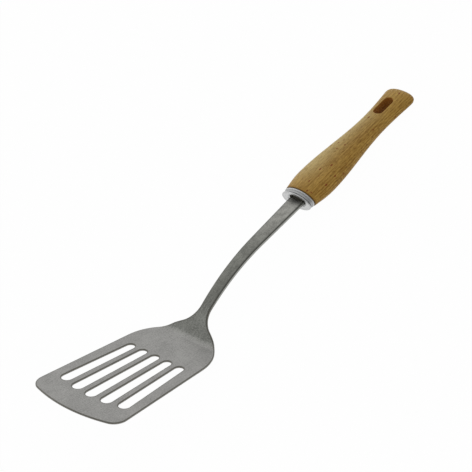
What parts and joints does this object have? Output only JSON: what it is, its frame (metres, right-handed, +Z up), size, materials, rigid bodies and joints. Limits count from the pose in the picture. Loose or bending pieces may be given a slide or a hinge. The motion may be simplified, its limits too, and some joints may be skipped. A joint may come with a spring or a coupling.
{
  "type": "slotted turner",
  "caption": "Slotted kitchen turner: thin steel blade bent up into an arched shank, oval metal ferrule, and a waisted wooden handle with a hanging slot.",
  "frame": {"origin": "on the table the turner lies on, under the middle of its bounding box", "axes": "+Y from the blade's tip towards the handle's butt, +Z up, +X across the blade; the turner lies on the outside of its heel and the underside of its butt"},
  "size_m": [0.0802, 0.34, 0.0427],
  "materials": {
    "brushed_steel": "satin stainless steel",
    "ferrule_metal": "smooth bright metal",
    "beech": "oiled beech"
  },
  "bodies": {
    "root": {"turner_blade": "brushed_steel", "ferrule": "ferrule_metal", "handle": "beech"}
  },
  "joints": []
}
